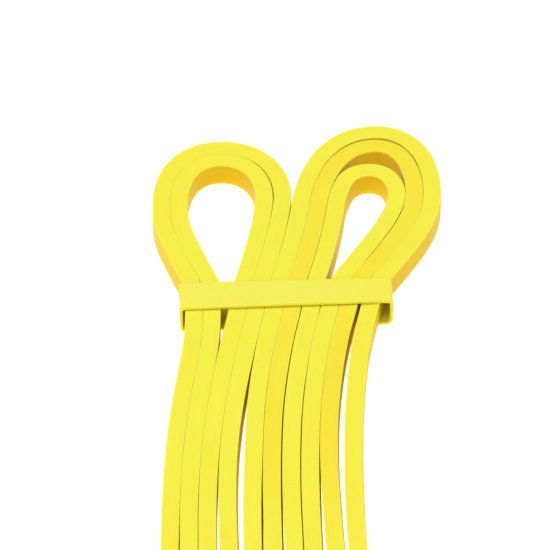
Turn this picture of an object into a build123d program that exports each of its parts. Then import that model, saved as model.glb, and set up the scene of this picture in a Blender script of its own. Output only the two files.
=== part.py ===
from build123d import *
import os
from math import dist, hypot, radians, tan

# A loop resistance band of natural latex, folded up and tied for storage.
#
# The band is one endless loop of rubber, 4.5 mm thick and 6.4 mm wide. It lies on a table, on its
# edge, folded so that ten strands run side by side. The strands turn back in five nested bends at
# the far end (two eyes) and in five nested bends at the near end (two tails). A thin strap, itself
# a small latex loop, holds the strands together just below the eyes.
#
# +X is to the right across the hank, +Y runs along it towards the eyes, and +Z is up. The lists
# below are in millimetres from one point between strands five and six, under the strap. At the
# end the whole model is moved, so that the origin is under the middle of its bounding box.

# ---- Driving dimensions, mm ----
THICKNESS = 4.5            # the band, measured across the hank
HEIGHT = 6.4               # the band's width, which stands up from the table
STRAP_WALL = 1.0           # the strap's sheet of latex
STRAP_WIDTH = 9.6          # along the hank
STRAP_OPENING = 52.6       # inside, across the hank
STRAP_CENTRE = (0.4, -0.5)
STRAP_TURN = 1.8           # degrees, its right end is a little further up the hank
STRAP_CORNER = 1.4         # the outer corner of the strap's loop
STRAP_INNER_CORNER = 0.4
CLEAR = 0.25               # air between the strap and the strands, above and below
FLEX_GAP = 0.3             # the cut between two bodies where the rubber bends
EYE_CUT = 7.0              # where the eyes bend up from the strands
TAIL_CUT = -100.0          # where the tails bend up

# ---- The folded route: the strands ----
# Each row crosses the hank at one Y, and gives the middle of strands 1 to 10 there.
ROW_Y = (5.0, -4.7, -17.5, -37.6, -55.9, -74.2, -90.6, -103.0)
ROWS = (
    (-23.4, -18.6, -11.2, -6.4, -1.3, 3.4, 8.2, 13.0, 18.2, 23.3),
    (-23.0, -18.3, -12.5, -7.8, -2.9, 1.9, 6.7, 11.6, 16.4, 22.0),
    (-23.8, -19.1, -14.4, -9.7, -4.9, -0.2, 4.5, 9.2, 13.9, 19.7),
    (-26.5, -21.8, -17.1, -12.4, -7.4, -2.6, 2.3, 7.1, 11.8, 17.7),
    (-28.1, -23.4, -18.7, -14.0, -7.7, -3.0, 1.8, 6.5, 11.2, 17.5),
    (-28.9, -24.2, -19.5, -14.7, -7.9, -3.1, 1.9, 6.7, 12.0, 17.9),
    (-29.2, -24.5, -19.8, -14.1, -7.9, -2.8, 2.5, 7.3, 13.2, 18.9),
    (-29.8, -24.9, -20.0, -13.2, -7.8, -2.8, 2.7, 7.5, 14.8, 20.2),
)

# ---- The folded route: the bends ----
# The outermost layer of each eye and tail runs through these points, from its left leg round to
# its right leg. The layers inside it follow the same points, stepped inwards.
LEFT_EYE = ((-25.4, 9.0), (-28.7, 18.2), (-31.8, 27.9), (-32.1, 39.9), (-28.8, 50.5), (-21.2, 56.7),
            (-11.1, 56.7), (-3.7, 50.9), (-0.4, 41.6), (-1.4, 31.4), (-3.9, 15.4))
LEFT_EYE_STEP = (4.75, 4.7, 4.65, 4.65, 4.65, 4.65, 4.75, 5.0, 5.0, 4.8, 4.7)
RIGHT_EYE = ((1.0, 15.4), (3.7, 30.4), (4.8, 42.1), (8.9, 53.8), (16.4, 61.6), (26.9, 62.8),
             (34.6, 56.2), (38.3, 45.1), (38.2, 34.5), (34.7, 25.3), (27.7, 12.4))
RIGHT_EYE_STEP = (4.75, 4.7, 4.8, 4.9, 5.2, 5.2, 5.0, 4.8, 4.7, 4.7, 4.7)
RIGHT_EYE_INNER = ((10.8, 14.3), (13.4, 29.4), (14.3, 39.9), (17.5, 47.6), (25.0, 48.0), (28.9, 40.0),
                   (25.8, 29.0), (17.6, 14.3))
LEFT_TAIL = ((-32.2, -110.0), (-36.0, -121.0), (-35.0, -133.7), (-26.0, -142.0), (-12.0, -142.0),
             (-3.1, -133.3), (-2.1, -121.0), (-2.4, -110.0))
RIGHT_TAIL = ((2.8, -110.0), (2.7, -122.0), (3.8, -132.8), (11.2, -139.6), (21.2, -139.6),
              (28.8, -132.3), (29.6, -122.0), (24.2, -110.0))
STEP = 4.75                # from one layer of a tail to the next

# ---- How the hank lies ----
# The middle of the band's height along the hank: flat on the table at both ends, and lifted by the
# strap's sheet over the strap's whole travel.
LOW = HEIGHT / 2
HIGH = HEIGHT / 2 + STRAP_WALL + CLEAR
LIE = ((-160.0, LOW), (-92.0, LOW), (-64.0, HIGH), (9.0, HIGH), (27.0, LOW), (80.0, LOW))

BEND_SHARE = 0.45          # the share of the shorter run that an arc takes up
LARGEST_BEND = 300.0       # no arc is flatter than this
WALL_TOP = 12.0            # the route is drawn up to here before its top is cut to the hank's lie
EYE_END = 75.0             # past the far side of the eyes
TAIL_END = -155.0          # past the near side of the tails
REACH = 80.0               # past both sides of the hank, from the middle


def direction(a, b):
    length = dist(a, b)
    return ((b[0] - a[0]) / length, (b[1] - a[1]) / length)


def stepped(points, steps):
    """The same open line of runs, moved to the right of its travel by one step at each point."""
    moved = []
    for i, (x, y) in enumerate(points):
        before = direction(points[max(i - 1, 0)], points[max(i, 1)])
        after = direction(points[min(i, len(points) - 2)], points[min(i + 1, len(points) - 1)])
        across = (before[1] + after[1], -before[0] - after[0])
        share = 2 * steps[i] / hypot(*across) ** 2
        moved.append((x + across[0] * share, y + across[1] * share))
    return moved


def even(points, step):
    return stepped(points, [step] * len(points))


def turn_at(a, b, c):
    """Degrees that the line turns at b, positive to the left."""
    before = Vector(*direction(a, b))
    after = Vector(*direction(b, c))
    sign = 1 if before.cross(after).Z > 0 else -1
    return sign * before.get_angle(after)


def bends(points):
    """The radius at each inner point, and the way the line turns there."""
    found = []
    for a, b, c in zip(points, points[1:], points[2:]):
        turn = turn_at(a, b, c)
        radius = BEND_SHARE * min(dist(a, b), dist(b, c)) / tan(radians(abs(turn) / 2))
        found.append((min(radius, LARGEST_BEND), 1 if turn > 0 else -1))
    return found


def ribbon(points, width):
    """A flat strip of even width along straight runs and tangent arcs."""
    half = width / 2
    corners = bends(points)
    right = FilletPolyline(*even(points, half), radius=[r + half * way for r, way in corners])
    left = FilletPolyline(*even(points, -half), radius=[r - half * way for r, way in corners])
    ends = [Line(left @ 0, right @ 0), Line(left @ 1, right @ 1)]
    return make_face([*left.edges(), *right.edges(), *ends])


def strand(number):
    """Strand 1 to 10, from the eyes down to the tails."""
    return [(row[number - 1], y) for row, y in zip(ROWS, ROW_Y)]


def up(number):
    return strand(number)[::-1]


def tail_layer(outer, layer):
    return even(outer, -STEP * layer)


def stretches():
    """Every stretch of the one endless loop, in order along the rubber."""
    left_inner = stepped(LEFT_EYE, LEFT_EYE_STEP)
    right_middle = stepped(RIGHT_EYE, RIGHT_EYE_STEP)
    return [
        ("strand_01", up(1)), ("left_eye_outer", list(LEFT_EYE)),
        ("strand_04", strand(4)), ("tail_left_inner", tail_layer(LEFT_TAIL, 2)[::-1]),
        ("strand_03", up(3)), ("left_eye_inner", left_inner[::-1]),
        ("strand_02", strand(2)), ("tail_left_middle", tail_layer(LEFT_TAIL, 1)),
        ("strand_05", up(5)), ("right_eye_outer", list(RIGHT_EYE)),
        ("strand_10", strand(10)), ("tail_right_outer", list(RIGHT_TAIL)[::-1]),
        ("strand_07", up(7)), ("right_eye_inner", list(RIGHT_EYE_INNER)),
        ("strand_08", strand(8)), ("tail_right_inner", tail_layer(RIGHT_TAIL, 1)),
        ("strand_09", up(9)), ("right_eye_middle", right_middle[::-1]),
        ("strand_06", strand(6)), ("tail_left_outer", list(LEFT_TAIL)[::-1]),
    ]


def zones():
    """The slab that the band fills, cut into the strands, the eyes and the tails."""
    slab = extrude(Plane.YZ * ribbon(LIE, HEIGHT), amount=REACH, both=True)
    half = FLEX_GAP / 2
    limits = {"strand": (TAIL_CUT + half, EYE_CUT - half), "eye": (EYE_CUT + half, EYE_END),
              "tail": (TAIL_END, TAIL_CUT - half)}
    cut = {}
    for zone, (low, high) in limits.items():
        window = Pos(0, (low + high) / 2, 0) * Box(2 * REACH, high - low, 2 * WALL_TOP)
        cut[zone] = slab & window
    return cut


def band():
    """One solid for each stretch."""
    route = stretches()
    slabs = zones()
    solids = {}
    for i, (name, points) in enumerate(route):
        before = route[i - 1][1][-2:]
        after = route[(i + 1) % len(route)][1][:2]
        wall = extrude(ribbon([*before, *points, *after], THICKNESS), amount=WALL_TOP)
        zone = next(key for key in slabs if key in name)
        solids[name] = wall & slabs[zone]
    return solids


def tie_strap():
    """A flat loop round all ten strands."""
    inside_height = HEIGHT + 2 * CLEAR
    opening = RectangleRounded(STRAP_OPENING, inside_height, STRAP_INNER_CORNER)
    around = 2 * STRAP_WALL
    outside = RectangleRounded(STRAP_OPENING + around, inside_height + around, STRAP_CORNER)
    loop = extrude(Plane.XZ * (outside - opening), amount=STRAP_WIDTH / 2, both=True)
    place = Pos(*STRAP_CENTRE, inside_height / 2 + STRAP_WALL)
    return place * Rot(0, 0, STRAP_TURN) * loop


def loop_length():
    """The length of the whole loop along its middle line."""
    points = [point for _, stretch in stretches() for point in stretch]
    closed = [*points[-2:], *points, *points[:2]]
    length = sum(dist(a, b) for a, b in zip(points, [*points[1:], points[0]]))
    for (radius, _), a, b, c in zip(bends(closed)[1:-1], closed[1:], closed[2:], closed[3:]):
        half_turn = radians(abs(turn_at(a, b, c)) / 2)
        length -= 2 * radius * (tan(half_turn) - half_turn)
    return length


def main():
    nodes = dict(sorted(band().items()))
    nodes["tie_strap"] = tie_strap()
    box = Compound([shape.solid() for shape in nodes.values()]).bounding_box()
    middle = box.center()
    home = Pos(-middle.X, -middle.Y, -box.min.Z)
    os.makedirs("parts", exist_ok=True)
    for name, shape in nodes.items():
        export_step(home * shape.solid(), f"parts/{name}.step")
    print("band length", round(loop_length(), 1), "mm; strap from the origin",
          round(STRAP_CENTRE[0] - middle.X, 3), round(STRAP_CENTRE[1] - middle.Y, 3))
    print("tightest bend", round(min(r for _, p in stretches() for r, _ in bends(p)), 2), "mm")


main()
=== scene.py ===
# %% [markdown]
# # A loop resistance band, folded and tied
#
# The object is one endless loop of natural latex: 2.08 m round, 4.5 mm thick and 6.4 mm wide. For
# storage it is folded so that ten strands lie side by side on their edges. The rubber turns back in
# five nested bends at the far end, which make two eyes, and in five at the near end, which make two
# tails. A thin latex strap goes round all ten strands just below the eyes.
#
# This file builds what can be seen of it: the band as a swept solid along one smooth route, the
# strap as a thin swept loop, and two rubber materials. The places and sizes come from the packed
# CAD model, so the first step is to load that.

# %% Load the frame
from math import cos, dist, hypot, pi, radians, sin

import bpy
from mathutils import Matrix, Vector


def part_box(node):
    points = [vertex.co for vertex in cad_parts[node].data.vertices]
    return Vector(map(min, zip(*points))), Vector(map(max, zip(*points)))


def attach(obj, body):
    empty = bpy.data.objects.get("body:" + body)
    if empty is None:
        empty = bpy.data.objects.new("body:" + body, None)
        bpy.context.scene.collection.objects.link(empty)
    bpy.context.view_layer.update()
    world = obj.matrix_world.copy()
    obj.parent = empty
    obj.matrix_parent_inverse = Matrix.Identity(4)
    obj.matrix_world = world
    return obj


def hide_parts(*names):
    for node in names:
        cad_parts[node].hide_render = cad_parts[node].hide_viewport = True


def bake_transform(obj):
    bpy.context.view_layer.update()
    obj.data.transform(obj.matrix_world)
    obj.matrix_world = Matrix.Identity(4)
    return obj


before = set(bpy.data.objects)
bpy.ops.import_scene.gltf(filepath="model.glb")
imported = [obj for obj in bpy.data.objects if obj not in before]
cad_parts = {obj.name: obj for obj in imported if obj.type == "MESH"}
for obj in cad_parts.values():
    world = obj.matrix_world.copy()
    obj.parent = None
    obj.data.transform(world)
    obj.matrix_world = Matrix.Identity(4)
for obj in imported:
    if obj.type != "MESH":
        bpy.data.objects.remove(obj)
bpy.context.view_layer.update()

MM = 0.001
THICKNESS = 4.5 * MM       # the band, across the hank
HEIGHT = 6.4 * MM          # the band's width, standing up

# %% [markdown]
# ## Where things are
#
# The route's points below are in millimetres from one place under the strap. The strap's own CAD
# node says where that place is in the frame, so nothing has to be fitted by eye.

# %% From route millimetres to frame metres
strap_low, strap_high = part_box("tie_strap")
strap_middle = (strap_low + strap_high) / 2
STRAP_IN_ROUTE = (0.4, -0.5)
shift = (strap_middle.x / MM - STRAP_IN_ROUTE[0], strap_middle.y / MM - STRAP_IN_ROUTE[1])


def place(x, y, z):
    """A point of the route, in metres in the frame."""
    return Vector(((x + shift[0]) * MM, (y + shift[1]) * MM, z * MM))


print("the route's zero is at", [round(v, 2) for v in shift], "mm in the frame")

# %% [markdown]
# ## The camera
#
# The hank is seen from its tail end, from 44 degrees above the table. The view has almost no
# perspective: strands near and far look equally thick. A very long lens from three metres away
# gives that look, and still lets the camera be moved round the object.

# %% Camera
ELEVATION = radians(44)
DISTANCE = 3.0
SENSOR = 36.0
VIEW_WIDTH = 139.6 * MM    # what the picture spans at the object
LOOK_AT = (-2.54, 8.04, 7.65)
NEAREST_SEEN, FARTHEST_SEEN = 0.1, 20.0


def make_camera():
    data = bpy.data.cameras.new("camera")
    data.sensor_width = SENSOR
    data.lens = SENSOR * DISTANCE / VIEW_WIDTH
    data.clip_start = NEAREST_SEEN
    data.clip_end = FARTHEST_SEEN
    camera = bpy.data.objects.new("camera", data)
    bpy.context.scene.collection.objects.link(camera)
    aim = place(*LOOK_AT)
    back = Vector((0, -cos(ELEVATION), sin(ELEVATION)))
    camera.location = aim + back * DISTANCE
    camera.rotation_mode = "QUATERNION"
    camera.rotation_quaternion = (-back).to_track_quat("-Z", "Y")
    bpy.context.scene.camera = camera
    return camera


camera = make_camera()
print("lens", round(camera.data.lens), "mm")

# %% [markdown]
# ## The route, part one: the ten strands
#
# The band behaves as a cord: a fixed length of something flexible that lies under its own weight.
# Each row below crosses the hank at one distance from the strap and gives the middle of strands 1
# to 10 there, from left to right. Strands that touch are 4.5 mm apart square to their length, which
# is a longer step across the hank where they slope, as beside the eyes. Any wider step is a gap that
# shows. The strands drift a little, as rubber does that was folded by hand.

# %% Rows across the strands
ROW_Y = (5.0, -4.7, -17.5, -37.6, -55.9, -74.2, -90.6, -103.0)
ROWS = (
    (-23.45, -18.6, -10.85, -6.25, -1.65, 2.9, 7.6, 12.9, 17.78, 23.06),
    (-22.93, -18.43, -11.96, -7.41, -2.82, 1.75, 6.52, 11.09, 15.69, 21.15),
    (-23.38, -18.85, -14.31, -9.74, -5.17, -0.62, 4.13, 8.67, 13.22, 18.8),
    (-26.27, -21.73, -17.19, -12.65, -7.34, -2.76, 2.05, 6.78, 11.32, 17.45),
    (-27.81, -23.29, -18.78, -14.11, -7.68, -3.15, 1.66, 6.42, 11.02, 17.19),
    (-28.47, -23.96, -19.33, -14.22, -7.99, -3.04, 1.87, 6.63, 11.89, 17.50),
    (-28.59, -23.78, -19.15, -13.69, -7.76, -2.65, 2.56, 7.32, 12.83, 18.30),
    (-29.22, -24.31, -19.40, -12.92, -7.66, -2.79, 2.56, 7.24, 14.34, 19.60),
)

# %% [markdown]
# ## The route, part two: the bends
#
# Each eye and tail is a nest of layers. The outermost layer is a short list of points, and the
# layers inside it are the same points stepped inwards, so that they stay side by side like the
# lanes of a running track. Where a step is a little larger than the band's thickness, the layers
# part and a dark line shows between them.

# %% Points round the bends
LEFT_EYE = ((-25.2, 9.0), (-28.3, 18.2), (-31.4, 27.9), (-31.8, 39.8), (-28.7, 50.3), (-21.2, 56.5),
            (-11.1, 56.4), (-3.7, 50.8), (-0.3, 41.6), (-1.1, 31.4), (-3.8, 15.4))
LEFT_EYE_STEP = (4.51, 4.51, 4.51, 4.51, 4.51, 4.51, 4.56, 4.75, 4.75, 4.55, 4.51)
RIGHT_EYE = ((0.8, 15.4), (3.4, 30.4), (4.7, 42.1), (8.9, 53.8), (16.5, 61.6), (27.1, 62.8),
             (34.7, 56.3), (37.8, 45.1), (37.6, 34.5), (34.4, 25.3), (27.8, 12.4))
RIGHT_EYE_STEP = (4.51, 4.51, 4.51, 4.65, 5.0, 5.05, 4.85, 4.6, 4.51, 4.51, 4.51)
RIGHT_EYE_INNER = ((9.87, 14.3), (12.42, 29.4), (13.6, 40.2), (17.0, 47.9), (25.3, 48.4),
                   (29.5, 40.3), (26.3, 29.4), (18.25, 14.3))
LEFT_TAIL = ((-32.2, -110.0), (-36.0, -121.0), (-35.0, -133.7), (-26.0, -142.0), (-12.0, -142.0),
             (-3.1, -133.3), (-2.1, -121.0), (-2.4, -110.0))
RIGHT_TAIL = ((2.8, -110.0), (2.7, -122.0), (3.8, -132.8), (11.2, -139.6), (21.2, -139.6),
              (28.8, -132.3), (29.6, -122.0), (24.2, -110.0))
TAIL_STEP = 4.65


def direction(a, b):
    length = dist(a, b)
    return ((b[0] - a[0]) / length, (b[1] - a[1]) / length)


def stepped(points, steps):
    """The same open line, moved to the right of its travel by one step at each point."""
    moved = []
    for i, (x, y) in enumerate(points):
        before = direction(points[max(i - 1, 0)], points[max(i, 1)])
        after = direction(points[min(i, len(points) - 2)], points[min(i + 1, len(points) - 1)])
        across = (before[1] + after[1], -before[0] - after[0])
        share = 2 * steps[i] / hypot(*across) ** 2
        moved.append((x + across[0] * share, y + across[1] * share))
    return moved


def tail_layer(outer, layer):
    return stepped(outer, [-TAIL_STEP * layer] * len(outer))


print("the small loop in the right eye turns round", RIGHT_EYE_INNER[3], "to", RIGHT_EYE_INNER[4])

# %% [markdown]
# ## The route, part three: one endless line
#
# Going along the rubber, strands and bends take turns, and after twenty stretches the loop closes.
# Each strand runs up to an eye or down to a tail, and each bend brings the rubber back to another
# strand. The order below is the order in which a finger would follow the band.

# %% Strands and bends in order


def down(number):
    """Strand 1 to 10, from the eyes down to the tails."""
    return [(row[number - 1], y) for row, y in zip(ROWS, ROW_Y)]


def up(number):
    return down(number)[::-1]


left_inner = stepped(LEFT_EYE, LEFT_EYE_STEP)
right_middle = stepped(RIGHT_EYE, RIGHT_EYE_STEP)
LOOP = (
    ("strand_01", up(1)), ("left_eye_outer", list(LEFT_EYE)),
    ("strand_04", down(4)), ("tail_left_inner", tail_layer(LEFT_TAIL, 2)[::-1]),
    ("strand_03", up(3)), ("left_eye_inner", left_inner[::-1]),
    ("strand_02", down(2)), ("tail_left_middle", tail_layer(LEFT_TAIL, 1)),
    ("strand_05", up(5)), ("right_eye_outer", list(RIGHT_EYE)),
    ("strand_10", down(10)), ("tail_right_outer", list(RIGHT_TAIL)[::-1]),
    ("strand_07", up(7)), ("right_eye_inner", list(RIGHT_EYE_INNER)),
    ("strand_08", down(8)), ("tail_right_inner", tail_layer(RIGHT_TAIL, 1)),
    ("strand_09", up(9)), ("right_eye_middle", right_middle[::-1]),
    ("strand_06", down(6)), ("tail_left_outer", list(LEFT_TAIL)[::-1]),
)
route_points = [point for _, stretch in LOOP for point in stretch]
print(len(LOOP), "stretches,", len(route_points), "points")

# %% [markdown]
# ## How high the rubber lies
#
# Both ends of the hank lie flat on the table. The strap goes under the strands, so they are lifted
# by its sheet there, and ease down again on both sides. The same gentle step is used for every
# strand, with one smooth curve between the two heights.

# %% Height along the hank
ON_TABLE = 3.2              # the middle of the band's height, in mm
OVER_STRAP = 4.45
TAIL_RAMP = (-110.0, -72.0)
EYE_RAMP = (9.0, 27.0)


def eased(share):
    """A share from 0 to 1 that starts and stops gently."""
    share = min(max(share, 0.0), 1.0)
    return share * share * (3 - 2 * share)


def middle_height(y):
    """The middle of the band's height, in mm, at one place along the hank."""
    rising = eased((y - TAIL_RAMP[0]) / (TAIL_RAMP[1] - TAIL_RAMP[0]))
    falling = eased((y - EYE_RAMP[0]) / (EYE_RAMP[1] - EYE_RAMP[0]))
    return ON_TABLE + (OVER_STRAP - ON_TABLE) * (rising - falling)


print("middle height at tails, strap and eyes, mm:", [middle_height(y) for y in (-130, 0, 40)])

# %% [markdown]
# ## How the strands lean
#
# Strands that stand on edge don't stay quite upright. Between the strap and the tails they lean a
# few degrees to the left, like books on a shelf, so a little of each right-hand side shows where
# there is a gap. The three on the left are packed closer and lean less. At the eyes and at the
# tails' ends the bends hold the band upright. Leaning raises one corner, and the strap has to slide
# over it, so a strand that leans also lies a little lower.

# %% Lean along the hank
LEAN = radians(5.0)
LEAN_IN = (-18.0, -72.0)
LEAN_OUT = (-92.0, -108.0)
UPRIGHT_SIDE = (-20.0, -12.0)
UPRIGHT_SHARE = 0.3         # how much the left strands lean, next to the others
LET_DOWN = 0.8              # the share of the raised corner that lying lower takes back


def lean_at(x, y):
    """The lean at one place on the hank, x and y in mm."""
    into = eased((LEAN_IN[0] - y) / (LEAN_IN[0] - LEAN_IN[1]))
    out = eased((LEAN_OUT[0] - y) / (LEAN_OUT[0] - LEAN_OUT[1]))
    aside = eased((x - UPRIGHT_SIDE[0]) / (UPRIGHT_SIDE[1] - UPRIGHT_SIDE[0]))
    return LEAN * (into - out) * (UPRIGHT_SHARE + (1 - UPRIGHT_SHARE) * aside)


def lean_lift(x, y):
    """How far leaning raises the band's upper corner, in mm."""
    return THICKNESS / MM / 2 * sin(lean_at(x, y))


def height_at(x, y):
    """The middle's height in mm, with the leaning strands let down."""
    return middle_height(y) - LET_DOWN * lean_lift(x, y)


def band_side(point):
    """The way that the band's width points."""
    lean = lean_at(point.x / MM - shift[0], point.y / MM - shift[1])
    return Vector((-sin(lean), 0, cos(lean)))


print("most lean", round(lean_at(0, -80) / radians(1), 1), "degrees")

# %% [markdown]
# ## One smooth curve
#
# The points become the control points of a closed NURBS curve. A curve with no bevel turns into a
# plain line of vertices when it is read back as a mesh, and those vertices are the line that the
# rubber is swept along. The measured length is the test of the whole route: the real loop is
# 2.08 m round.

# %% The route's curve, read back as a line
LINE_POINTS = 12            # for each control point


def smooth_line(points):
    """The points of a closed NURBS curve that has these control points."""
    curve = bpy.data.curves.new("route", "CURVE")
    curve.dimensions = "3D"
    curve.resolution_u = LINE_POINTS
    spline = curve.splines.new("NURBS")
    spline.points.add(len(points) - 1)
    for target, point in zip(spline.points, points):
        target.co = (*point, 1)
    spline.order_u = 3
    spline.use_cyclic_u = True
    holder = bpy.data.objects.new("route", curve)
    bpy.context.scene.collection.objects.link(holder)
    read = bpy.data.meshes.new_from_object(holder)
    found = [vertex.co.copy() for vertex in read.vertices]
    bpy.data.objects.remove(holder)
    bpy.data.meshes.remove(read)
    bpy.data.curves.remove(curve)
    return found


def length_of(points):
    return sum((b - a).length for a, b in zip(points, points[1:]))


line = smooth_line([place(x, y, height_at(x, y)) for x, y in route_points])
print(len(line), "line points; the loop is", round(length_of([*line, line[0]]), 4), "m round")

# %% [markdown]
# ## Cutting the line into pieces that can move
#
# The eyes can be bent up from the table, and so can each tail, so one mesh for the whole loop
# won't do: every piece may bend across one joint only. The line is cut where each strand passes
# under the strap. That gives five pieces through the eyes and five through the tails, and at rest
# the strap hides the cuts. Neighbours share the same end point and direction, so no seam shows when
# the strap slides away. A line point that lies almost on a cut is left out, because it would make a
# row of sliver faces there.

# %% Cut the line under the strap
CUT_Y = -0.6
NEAREST = 0.3 * MM


def crossing(a, b, y):
    return a.lerp(b, (y - a.y) / (b.y - a.y))


def pieces_of(points, y):
    """The closed line cut at each crossing of y. The first piece starts upwards, into an eye."""
    around = [*points, *points]
    count = len(points)
    marks = [i for i in range(count) if (around[i].y - y) * (around[i + 1].y - y) < 0]
    if around[marks[0]].y > y:
        marks = marks[1:] + marks[:1]
    pieces = []
    for mark, after in zip(marks, marks[1:] + marks[:1]):
        stop = after if after > mark else after + count
        start = crossing(around[mark], around[mark + 1], y)
        end = crossing(around[stop], around[stop + 1], y)
        run = [point for point in around[mark + 1:stop + 1]
               if min((point - start).length, (point - end).length) > NEAREST]
        pieces.append([start, *run, end])
    return pieces


piece_lines = pieces_of(line, place(0, CUT_Y, 0).y)
print(len(piece_lines), "pieces, with", [len(points) for points in piece_lines], "points")

# %% [markdown]
# ## The band's cross-section
#
# The section is a rectangle with softly rounded corners. Smooth shading would smear a corner's
# roundness over the whole flat face, so each flat side gets an extra edge loop close to its
# corners. These "support loops" keep the faces flat and the corners crisp, and they cost little.

# %% Rounded section
CORNER = 0.1 * MM
SUPPORT = 0.14 * MM
CORNER_STEPS = 3


def rounded_section(width, height, corner, support):
    """Points round a rounded rectangle, with support points on its flat sides."""
    half_w, half_h = width / 2, height / 2
    points = []
    for quarter, (sx, sy) in enumerate(((1, 1), (-1, 1), (-1, -1), (1, -1))):
        centre = Vector((sx * (half_w - corner), sy * (half_h - corner)))
        arc = []
        for k in range(CORNER_STEPS + 1):
            angle = (quarter + k / CORNER_STEPS) * pi / 2
            arc.append(centre + corner * Vector((cos(angle), sin(angle))))
        first = Vector((-sin(quarter * pi / 2), cos(quarter * pi / 2)))
        last = Vector((-sin((quarter + 1) * pi / 2), cos((quarter + 1) * pi / 2)))
        points.append(arc[0] - first * support)
        points.extend(arc)
        points.append(arc[-1] + last * support)
    return points


band_section = rounded_section(THICKNESS, HEIGHT, CORNER, SUPPORT)
print("the section has", len(band_section), "points")

# %% [markdown]
# ## Sweeping a section along a line
#
# A frame of two directions goes along with each point of the line. One is the "side" that the
# rubber's width faces, straight up for the band, and the other is square to it and to the travel.
# The section is drawn in that frame at every point, and neighbouring rings are joined by quads. An
# open line gets a flat face at each end, so every piece is a solid; a closed line joins up with
# itself.
#
# The sweep also writes a named attribute, "skin", with the place along, across and up the rubber.
# The materials read their patterns from it, so a pattern runs along the band and stays on it when
# the rubber bends.

# %% Sweep helper


def ring_faces(rings, count, closed):
    """Quads between neighbouring rings of count points each."""
    faces = []
    for i in range(rings if closed else rings - 1):
        a, b = i * count, (i + 1) % rings * count
        faces.extend((a + k, b + k, b + (k + 1) % count, a + (k + 1) % count)
                     for k in range(count))
    return faces


def sweep(name, points, ends, section, side_at, scale_at, start=0.0):
    """A closed mesh along the line. ends are the points beyond its two ends, or None for a loop.
    side_at gives the side at a point, and scale_at the section's two scales there."""
    closed = ends is None
    before_first, after_last = (points[-1], points[0]) if closed else ends
    around = [before_first, *points, after_last]
    verts, skin = [], []
    along = start
    for i, point in enumerate(points):
        travel = (around[i + 2] - around[i]).normalized()
        across = travel.cross(side_at(point)).normalized()
        width_way = across.cross(travel)
        along += (point - points[i - 1]).length if i else 0
        wide, tall = scale_at(point, along)
        for corner in section:
            verts.append(point + across * corner.x * wide + width_way * corner.y * tall)
            skin.extend((along, corner.x, corner.y))
    count = len(section)
    faces = ring_faces(len(points), count, closed)
    quads = len(faces)
    last = len(verts) - count
    if not closed:
        faces.append(tuple(range(count)))
        faces.append(tuple(reversed(range(last, last + count))))
    mesh = bpy.data.meshes.new(name)
    mesh.from_pydata(verts, [], faces)
    mesh.attributes.new("skin", "FLOAT_VECTOR", "POINT").data.foreach_set("vector", skin)
    mesh.polygons.foreach_set("use_smooth", [i < quads for i in range(len(faces))])
    if not closed:
        for edge in mesh.edges:
            edge.use_edge_sharp = max(edge.vertices) < count or min(edge.vertices) >= last
    piece = bpy.data.objects.new(name, mesh)
    bpy.context.scene.collection.objects.link(piece)
    return piece


joined = ring_faces(2, len(band_section), False)
print("two neighbouring rings of the band are joined by", len(joined), "quads")

# %% [markdown]
# ## The ten band pieces
#
# Rubber cut from a wound tube is never perfectly even, so the section breathes by a few hundredths
# of a millimetre along its length. Three waves of different lengths, added up, never seem to
# repeat. Each piece is named for the bend that it goes through. It stands for that bend's CAD node,
# and the pieces through the eyes also stand for the strands, because every strand starts under the
# strap.

# %% Sweep the band
UNEVEN = 0.004
WAVES = ((290, 1.0, 1.0), (613, 2.1, 0.6), (131, -1.0, 0.4))
BENDS = [name for name, _ in LOOP if "strand" not in name]


def breathing(along, phase):
    """A slow unevenness, between about -1 and 1. A wave is radians per metre, its share of the
    phase, and its strength."""
    return sum(strength * sin(along * rate + share * phase) for rate, share, strength in WAVES) / 2


def uneven_band(point, along):
    return 1 + UNEVEN * breathing(along, 0.4), 1 + UNEVEN * breathing(along, 2.9)


def sweep_band():
    """The ten pieces and their lines, by the name of their bend."""
    made, lines = {}, dict(zip(BENDS, piece_lines))
    along = 0.0
    for i, name in enumerate(BENDS):
        ends = (piece_lines[i - 1][-2], piece_lines[(i + 1) % len(BENDS)][1])
        made[name] = sweep("band_" + name, lines[name], ends, band_section, band_side,
                           uneven_band, along)
        along += length_of(lines[name])
    return made, lines


band, band_lines = sweep_band()
for name, points in band_lines.items():
    print(name, round(length_of(points) * 1000), "mm,", len(band[name].data.polygons), "faces")

# %% [markdown]
# ## What each piece stands for
#
# On the real hank the strands stay put, the eyes fold up together about a line just beyond the
# strap, and each tail folds up about a line near its start. Here each eye piece stands for its bend
# and the two strands that it joins, and each tail piece for its bend. Their CAD parts are hidden,
# and each piece's placing is baked into its mesh.

STRANDS_OF = {
    "left_eye_outer": (1, 4), "left_eye_inner": (2, 3), "right_eye_outer": (5, 10),
    "right_eye_middle": (6, 9), "right_eye_inner": (7, 8),
}


def stands_for(name):
    return [name, *(f"strand_{number:02d}" for number in STRANDS_OF.get(name, ()))]


for name, piece in band.items():
    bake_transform(piece)
    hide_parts(*stands_for(name))
print(len(band), "pieces blended, each declared as its part of the loop")

# %% [markdown]
# ## The tie strap
#
# The strap is an endless loop of thinner, paler latex, about 9 mm wide and 0.85 mm thick. It lies on
# the table under the strands, turns up at both sides and crosses over the top. Its corners are full
# enough to clear the outer strands, so that it can slide. A little slack is left at the right-hand
# end, where it bulges away from the tenth strand. The same curve-and-sweep method is used, with the
# loop's own points seen from the tails, across and up.

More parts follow.
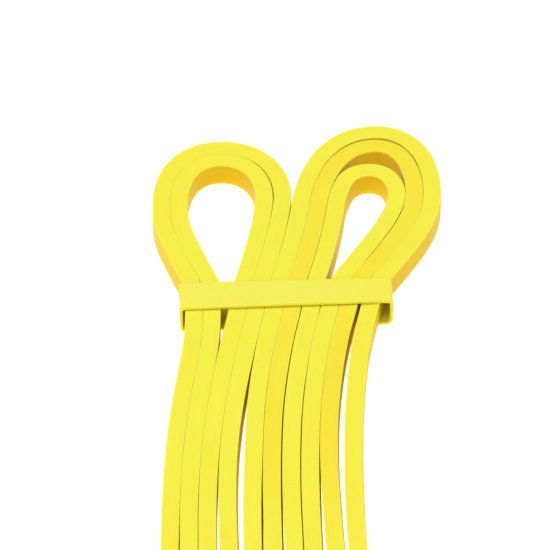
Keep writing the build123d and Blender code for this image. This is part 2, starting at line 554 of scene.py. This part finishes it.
# %% Sweep the strap
STRAP_WIDTH = 9.1 * MM
STRAP_WALL = 0.85 * MM
STRAP_CORNER, STRAP_SUPPORT = 0.3 * MM, 0.12 * MM
STRAP_TURN = radians(2.4)
STRAP_SHIFT = 1.3           # how far it has slipped towards the eyes, in mm
STRAP_LOOP = (
    (-22.0, 8.16), (-12.0, 8.22), (0.0, 8.28), (12.0, 8.24), (22.0, 8.16), (26.5, 8.16),
    (26.9, 7.7), (26.9, 4.8), (26.9, 2.6), (26.6, 0.6), (23.4, 0.5), (12.0, 0.49), (0.0, 0.48),
    (-12.0, 0.48), (-23.0, 0.48), (-26.1, 0.5), (-26.4, 1.2), (-26.4, 4.5), (-26.4, 7.7),
    (-26.1, 8.14),
)
WIDER_LEFT = 0.055
WALL_UNEVEN, WIDTH_UNEVEN = 0.03, 0.006


def strap_point(x, z):
    """A point of the strap's loop, turned a little about the strap's middle."""
    away = x - STRAP_IN_ROUTE[0]
    return place(STRAP_IN_ROUTE[0] + away * cos(STRAP_TURN),
                 STRAP_IN_ROUTE[1] + STRAP_SHIFT + away * sin(STRAP_TURN), z)


def strap_side(point):
    """The way that the strap's width points: the same all round."""
    return Vector((-sin(STRAP_TURN), cos(STRAP_TURN), 0))


def uneven_strap(point, along):
    """The strap is wider where it is less stretched, on the left, and wavers a little."""
    share = (point.x - strap_middle.x) / (strap_high.x - strap_low.x)
    wall = 1 + WALL_UNEVEN * breathing(along, 1.3)
    return wall, 1 - 2 * WIDER_LEFT * share + WIDTH_UNEVEN * breathing(along, 0.2)


strap_line = smooth_line([strap_point(x, z) for x, z in STRAP_LOOP])
strap_section = rounded_section(STRAP_WALL, STRAP_WIDTH, STRAP_CORNER, STRAP_SUPPORT)
strap = sweep("strap_loop", strap_line, None, strap_section, strap_side, uneven_strap)
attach(strap, "strap")
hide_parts("tie_strap")
print("the strap is", round(length_of([*strap_line, strap_line[0]]) * 1000, 1), "mm round")

# %% [markdown]
# ## Node helpers
#
# The materials share a few effects, so each effect is a node group with named inputs and outputs.
# A few short helpers keep the node code readable: they add a node with its settings and links, do
# sums, mix colours, and make a group with its sockets.

# %% Helpers for nodes


def add_node(tree, kind, sockets=None, **settings):
    """A new node. sockets sets or links inputs by name or number; settings are its properties."""
    made = tree.nodes.new(kind)
    for key, value in settings.items():
        setattr(made, key, value)
    for key, value in (sockets or {}).items():
        if isinstance(value, bpy.types.NodeSocket):
            tree.links.new(value, made.inputs[key])
        else:
            made.inputs[key].default_value = value
    return made


def maths(tree, operation, a, b=0.0, c=0.0, clamp=False):
    made = add_node(tree, "ShaderNodeMath", {0: a, 1: b, 2: c},
                    operation=operation, use_clamp=clamp)
    return made.outputs[0]


def between(tree, value, low, high):
    """A smooth 0 to 1 as value goes from low to high."""
    made = add_node(tree, "ShaderNodeMapRange", {"Value": value, "From Min": low, "From Max": high},
                    interpolation_type="SMOOTHSTEP")
    return made.outputs["Result"]


def blend_colours(tree, share, a, b):
    """Colour a where share is 0 and colour b where it is 1."""
    made = add_node(tree, "ShaderNodeMix", {0: share, 6: a, 7: b}, data_type="RGBA")
    return made.outputs[2]


def use_group(tree, group, sockets):
    """The outputs of a node group, with its inputs set or linked."""
    return add_node(tree, "ShaderNodeGroup", sockets, node_tree=group).outputs


SOCKETS = {float: "NodeSocketFloat", tuple: "NodeSocketColor"}


def new_group(name, inputs, outputs):
    """A node group. inputs is {name: default}, and outputs is {name: socket type}."""
    tree = bpy.data.node_groups.new(name, "ShaderNodeTree")
    for key, value in inputs.items():
        socket = tree.interface.new_socket(key, in_out="INPUT", socket_type=SOCKETS[type(value)])
        socket.default_value = value
    for key, kind in outputs.items():
        tree.interface.new_socket(key, in_out="OUTPUT", socket_type=kind)
    return tree, tree.nodes.new("NodeGroupInput").outputs, tree.nodes.new("NodeGroupOutput").inputs


def skin_axes(tree):
    """The places along, across and up the rubber, in metres."""
    skin = add_node(tree, "ShaderNodeAttribute", attribute_name="skin")
    split = add_node(tree, "ShaderNodeSeparateXYZ", {0: skin.outputs["Vector"]})
    return split.outputs[0], split.outputs[1], split.outputs[2]


def noise(tree, axes, scales, detail=2.0, rough=0.5):
    """Noise with its own number of features per metre along, across and up."""
    scaled = [maths(tree, "MULTIPLY", axis, scale) for axis, scale in zip(axes, scales)]
    vector = add_node(tree, "ShaderNodeCombineXYZ", {0: scaled[0], 1: scaled[1], 2: scaled[2]})
    made = add_node(tree, "ShaderNodeTexNoise",
                    {"Vector": vector.outputs[0], "Scale": 1.0, "Detail": detail, "Roughness": rough})
    return made.outputs["Fac"]


def outputs_of(group):
    return [item.name for item in group.interface.items_tree if item.in_out == "OUTPUT"]


print("helpers ready for sockets of", [kind.__name__ for kind in SOCKETS])

# %% [markdown]
# ## Effect one: which way a surface faces on the band
#
# Latex for these bands is wound in thin sheets round a drum, cured, and sliced into loops. So the
# two slices, which face up and down here, are cut faces: matt, pale, and ruled with faint lines
# where the sheets meet. The two other sides are the moulded skin, smoother than the cut faces. Their
# colour is painted deeper and more orange: partly the skin's own colour, partly painted shade of the
# clefts between strands. This group tells them apart, and finds the corners between them.

# %% Group: faces and corners
def make_faces_group():
    tree, given, result = new_group(
        "faces and corners", {"Half Across": 0.00225, "Half Up": 0.0032, "Reach": 0.0006},
        {"Cut Face": "NodeSocketFloat", "Corner": "NodeSocketFloat"})
    axes = skin_axes(tree)
    near = []
    for axis, half in ((axes[1], given["Half Across"]), (axes[2], given["Half Up"])):
        depth = maths(tree, "SUBTRACT", half, maths(tree, "ABSOLUTE", axis))
        reached = maths(tree, "DIVIDE", depth, given["Reach"])
        near.append(maths(tree, "SUBTRACT", 1.0, between(tree, reached, 0.0, 1.0)))
    corner = maths(tree, "MULTIPLY", near[0], near[1])
    broken = between(tree, noise(tree, axes, (260, 900, 900), 3.0), 0.3, 0.7)
    tree.links.new(near[1], result["Cut Face"])
    tree.links.new(maths(tree, "MULTIPLY", corner, broken), result["Corner"])
    return tree


faces_group = make_faces_group()
print(faces_group.name, "gives", outputs_of(faces_group))

# %% [markdown]
# ## Effect two: the sheets in the rubber
#
# The lines where the sheets meet are about half a millimetre apart and run along the band for
# centimetres before they fade. Stretched noise gives that: a fine scale across the band, and a
# coarse one along it. One output shades the colour, and one is a height for the bump.

# %% Group: wound sheets
def make_sheets_group():
    tree, given, result = new_group(
        "wound sheets", {"Sheets per Metre": 2100.0, "Fade per Metre": 26.0},
        {"Line": "NodeSocketFloat", "Height": "NodeSocketFloat"})
    along, across, up = skin_axes(tree)
    fine = add_node(tree, "ShaderNodeCombineXYZ", {
        0: maths(tree, "MULTIPLY", along, given["Fade per Metre"]),
        1: maths(tree, "MULTIPLY", across, given["Sheets per Metre"]),
        2: maths(tree, "MULTIPLY", up, 90.0)})
    lines = add_node(tree, "ShaderNodeTexNoise",
                     {"Vector": fine.outputs[0], "Scale": 1.0, "Detail": 2.0})
    tree.links.new(between(tree, lines.outputs["Fac"], 0.42, 0.72), result["Line"])
    tree.links.new(lines.outputs["Fac"], result["Height"])
    return tree


sheets_group = make_sheets_group()
print(sheets_group.name, "gives", outputs_of(sheets_group))

# %% [markdown]
# ## Effect three: fine grain
#
# Close up, cured latex has a skin of soft pimples about a third of a millimetre across, and a few
# pinholes where air was trapped. Both are too small to model, so they are a height for the bump. A
# mask of the pinholes darkens them a touch.

# %% Group: rubber grain
def make_grain_group():
    tree, given, result = new_group(
        "rubber grain", {"Grains per Metre": 2600.0, "Holes per Metre": 330.0},
        {"Height": "NodeSocketFloat", "Hole": "NodeSocketFloat"})
    skin = add_node(tree, "ShaderNodeAttribute", attribute_name="skin")
    grain = add_node(tree, "ShaderNodeTexNoise", {
        "Vector": skin.outputs["Vector"], "Scale": given["Grains per Metre"], "Detail": 3.0,
        "Roughness": 0.6})
    cells = add_node(tree, "ShaderNodeTexVoronoi", {
        "Vector": skin.outputs["Vector"], "Scale": given["Holes per Metre"], "Randomness": 1.0})
    hole = maths(tree, "SUBTRACT", 1.0, between(tree, cells.outputs["Distance"], 0.03, 0.09))
    height = maths(tree, "SUBTRACT", grain.outputs["Fac"], maths(tree, "MULTIPLY", hole, 0.8))
    tree.links.new(height, result["Height"])
    tree.links.new(hole, result["Hole"])
    return tree


grain_group = make_grain_group()
print(grain_group.name, "gives", outputs_of(grain_group))

# %% [markdown]
# ## Effect four: the tint, and painted shade
#
# The yellow isn't one flat colour. It drifts over centimetres where the latex cured a little more
# or less, and a trace of chalk from packing pales the corners. The walls are deeper and more orange
# than the cut faces: partly the moulded skin's own colour, partly painted shade of the clefts between
# strands. One stretch of the loop, about a quarter of a metre, has painted shade on its cut faces
# from end to end: it is the stretch through the middle of the right eye, over strands 9 and 6. The
# group mixes these colours; a material says how strong each is, and where along the rubber the
# shaded stretch lies.

# %% Group: latex tint
LINE_SHADE, HOLE_SHADE = 0.22, 0.35


def make_tint_group():
    tree, given, result = new_group("latex tint and painted shade", {
        "Face": (0.9, 0.8, 0.05, 1.0), "Wall": (0.9, 0.7, 0.05, 1.0), "Deep": (0.9, 0.7, 0.05, 1.0),
        "Chalk": (1.0, 0.95, 0.5, 1.0), "Cut Face": 1.0, "Line": 0.0, "Hole": 0.0, "Corner": 0.0,
        "Drift": 0.3, "Chalk Amount": 0.3, "Shade Middle": 0.0, "Shade Reach": 0.1, "Shade Amount": 0.0,
    }, {"Colour": "NodeSocketColor", "Cloud": "NodeSocketFloat"})
    axes = skin_axes(tree)
    cloud = between(tree, noise(tree, axes, (38, 120, 120), 3.0), 0.3, 0.72)
    # The walls' colour: for the band, partly the moulded skin's own colour and partly painted shade of
    # the clefts between strands.
    plain = blend_colours(tree, given["Cut Face"], given["Wall"], given["Face"])
    # Painted shade: one stretch of the loop is mixed towards the deep colour, on its cut faces only.
    off_middle = maths(tree, "ABSOLUTE", maths(tree, "SUBTRACT", axes[0], given["Shade Middle"]))
    off_share = maths(tree, "DIVIDE", off_middle, given["Shade Reach"])
    shade_stretch = maths(tree, "SUBTRACT", 1.0, between(tree, off_share, 0.7, 1.0))
    shade_share = maths(tree, "MULTIPLY", shade_stretch, given["Shade Amount"])
    shade_share = maths(tree, "MULTIPLY", shade_share, given["Cut Face"])
    clouded = maths(tree, "MULTIPLY", cloud, given["Drift"])
    share = maths(tree, "ADD", shade_share, clouded, clamp=True)
    drifted_and_shaded = blend_colours(tree, share, plain, given["Deep"])
    line_share = maths(tree, "MULTIPLY", given["Line"], LINE_SHADE)
    ruled = blend_colours(tree, line_share, drifted_and_shaded, given["Deep"])
    hole_share = maths(tree, "MULTIPLY", given["Hole"], HOLE_SHADE)
    holed = blend_colours(tree, hole_share, ruled, given["Deep"])
    chalk_share = maths(tree, "MULTIPLY", given["Corner"], given["Chalk Amount"])
    chalked = blend_colours(tree, chalk_share, holed, given["Chalk"])
    tree.links.new(chalked, result["Colour"])
    tree.links.new(cloud, result["Cloud"])
    return tree


tint_and_shade_group = make_tint_group()
print(tint_and_shade_group.name, "gives", outputs_of(tint_and_shade_group))

# %% [markdown]
# ## The latex material
#
# Both rubbers are the same recipe with different numbers. Latex is translucent: light goes in,
# scatters and comes out warmer, which is part of why the clefts between strands glow orange instead
# of going grey. Subsurface scattering gives that part, with a radius that is longest in red and
# shortest in blue. The rest is painted shade: the band's walls get a deep orange colour. The surface
# has a soft, broad gloss.

# %% Make a latex


def make_latex(name, size, colours, drift, chalk, gloss, glow, lines, shade_stretch):
    """size is (half across, half up); colours are face, wall (partly painted shade), deep and chalk;
    gloss is (roughest, smoothest); the last argument is the painted-shade stretch's (middle, reach,
    amount)."""
    material = bpy.data.materials.new(name)
    material.use_nodes = True
    tree = material.node_tree
    shader = tree.nodes["Principled BSDF"]
    faces = use_group(tree, faces_group,
                      {"Half Across": size[0], "Half Up": size[1], "Reach": 0.0006})
    sheets = use_group(tree, sheets_group, {})
    grain = use_group(tree, grain_group, {})
    ruled = maths(tree, "MULTIPLY", sheets["Line"], maths(tree, "MULTIPLY", faces["Cut Face"], lines))
    tint = use_group(tree, tint_and_shade_group, {
        "Face": colours[0], "Wall": colours[1], "Deep": colours[2], "Chalk": colours[3],
        "Cut Face": faces["Cut Face"], "Line": ruled, "Hole": grain["Hole"], "Corner": faces["Corner"],
        "Drift": drift, "Chalk Amount": chalk,
        "Shade Middle": shade_stretch[0], "Shade Reach": shade_stretch[1], "Shade Amount": shade_stretch[2]})
    tree.links.new(tint["Colour"], shader.inputs["Base Color"])
    rough = add_node(tree, "ShaderNodeMapRange",
                     {"Value": tint["Cloud"], "To Min": gloss[1], "To Max": gloss[0]})
    rubbed = maths(tree, "MULTIPLY_ADD", faces["Corner"], 0.15, rough.outputs["Result"], clamp=True)
    tree.links.new(rubbed, shader.inputs["Roughness"])
    height = maths(tree, "ADD", grain["Height"], maths(tree, "MULTIPLY", ruled, 1.5))
    bump = add_node(tree, "ShaderNodeBump", {"Height": height, "Strength": 0.35, "Distance": 0.00005})
    tree.links.new(bump.outputs["Normal"], shader.inputs["Normal"])
    shader.inputs["Subsurface Weight"].default_value = glow
    shader.inputs["Subsurface Radius"].default_value = (0.8, 0.55, 0.08)
    shader.inputs["Subsurface Scale"].default_value = 0.001
    shader.inputs["Specular IOR Level"].default_value = 0.1
    shader.inputs["IOR"].default_value = 1.45
    return material


# The stretch with painted shade is centred on the right eye's middle layer, which joins strands 9 and
# 6.
shaded_stretch_start = sum(length_of(band_lines[name]) for name in BENDS[:BENDS.index("right_eye_middle")])
shaded_stretch_middle = shaded_stretch_start + length_of(band_lines["right_eye_middle"]) / 2
# The band's wall colour, deep orange, is partly the moulded skin's colour and partly painted shade of
# the clefts between strands.
band_latex = make_latex(
    "band latex", (THICKNESS / 2, HEIGHT / 2),
    ((0.83, 0.785, 0.062, 1), (0.78, 0.51, 0.002, 1), (0.85, 0.69, 0.035, 1), (0.9, 0.86, 0.22, 1)),
    drift=0.3, chalk=0.08, gloss=(0.56, 0.42), glow=0.35, lines=0.5, shade_stretch=(shaded_stretch_middle, 0.17, 0.55))
strap_latex = make_latex(
    "strap latex", (STRAP_WALL / 2, STRAP_WIDTH / 2),
    ((0.83, 0.74, 0.03, 1), (0.825, 0.785, 0.10, 1), (0.83, 0.74, 0.05, 1), (0.9, 0.88, 0.25, 1)),
    drift=0.25, chalk=0.15, gloss=(0.6, 0.46), glow=0.25, lines=0.3, shade_stretch=(0.0, 0.1, 0.0))
for piece in band.values():
    piece.data.materials.append(band_latex)
strap.data.materials.append(strap_latex)
print("materials:", band_latex.name, "and", strap_latex.name)

# %% [markdown]
# ## Floor and light
#
# The object is shown as a shop shows it: on plain white with almost no shadow. A white floor under
# broad soft lights gives that. The floor itself also glows a little, like a light table, which
# fills the shadow close to the rubber. "Standard" colour keeps the yellow as bright as it is lit.

# %% Floor, lights and colour


def make_floor():
    half = 3.0
    corners = [(-half, -half, 0), (half, -half, 0), (half, half, 0), (-half, half, 0)]
    mesh = bpy.data.meshes.new("floor")
    mesh.from_pydata(corners, [], [(0, 1, 2, 3)])
    floor = bpy.data.objects.new("floor", mesh)
    bpy.context.scene.collection.objects.link(floor)
    material = bpy.data.materials.new("white floor")
    material.use_nodes = True
    shader = material.node_tree.nodes["Principled BSDF"]
    shader.inputs["Base Color"].default_value = (0.5, 0.5, 0.5, 1)
    shader.inputs["Roughness"].default_value = 0.8
    shader.inputs["Specular IOR Level"].default_value = 0.1
    shader.inputs["Emission Color"].default_value = (1, 1, 1, 1)
    shader.inputs["Emission Strength"].default_value = 0.85
    mesh.materials.append(material)


def make_light(name, place_at, size, power):
    data = bpy.data.lights.new(name, "AREA")
    data.shape = "RECTANGLE"
    data.size, data.size_y = size
    data.energy = power
    light = bpy.data.objects.new(name, data)
    light.location = place_at
    light.rotation_mode = "QUATERNION"
    light.rotation_quaternion = (-Vector(place_at)).to_track_quat("-Z", "Y")
    bpy.context.scene.collection.objects.link(light)


make_floor()
make_light("top softbox", (-0.3, 0.2, 1.8), (1.8, 1.8), 24)
make_light("front softbox", (-0.8, -1.7, 1.1), (1.4, 1.0), 9)
make_light("right softbox", (1.8, -0.2, 0.9), (1.0, 1.0), 4)
world = bpy.data.worlds.new("studio")
world.use_nodes = True
world.node_tree.nodes["Background"].inputs["Color"].default_value = (1, 1, 1, 1)
world.node_tree.nodes["Background"].inputs["Strength"].default_value = 0.45
bpy.context.scene.world = world
bpy.context.scene.view_settings.view_transform = "Standard"
print("floor, three softboxes and a white world")
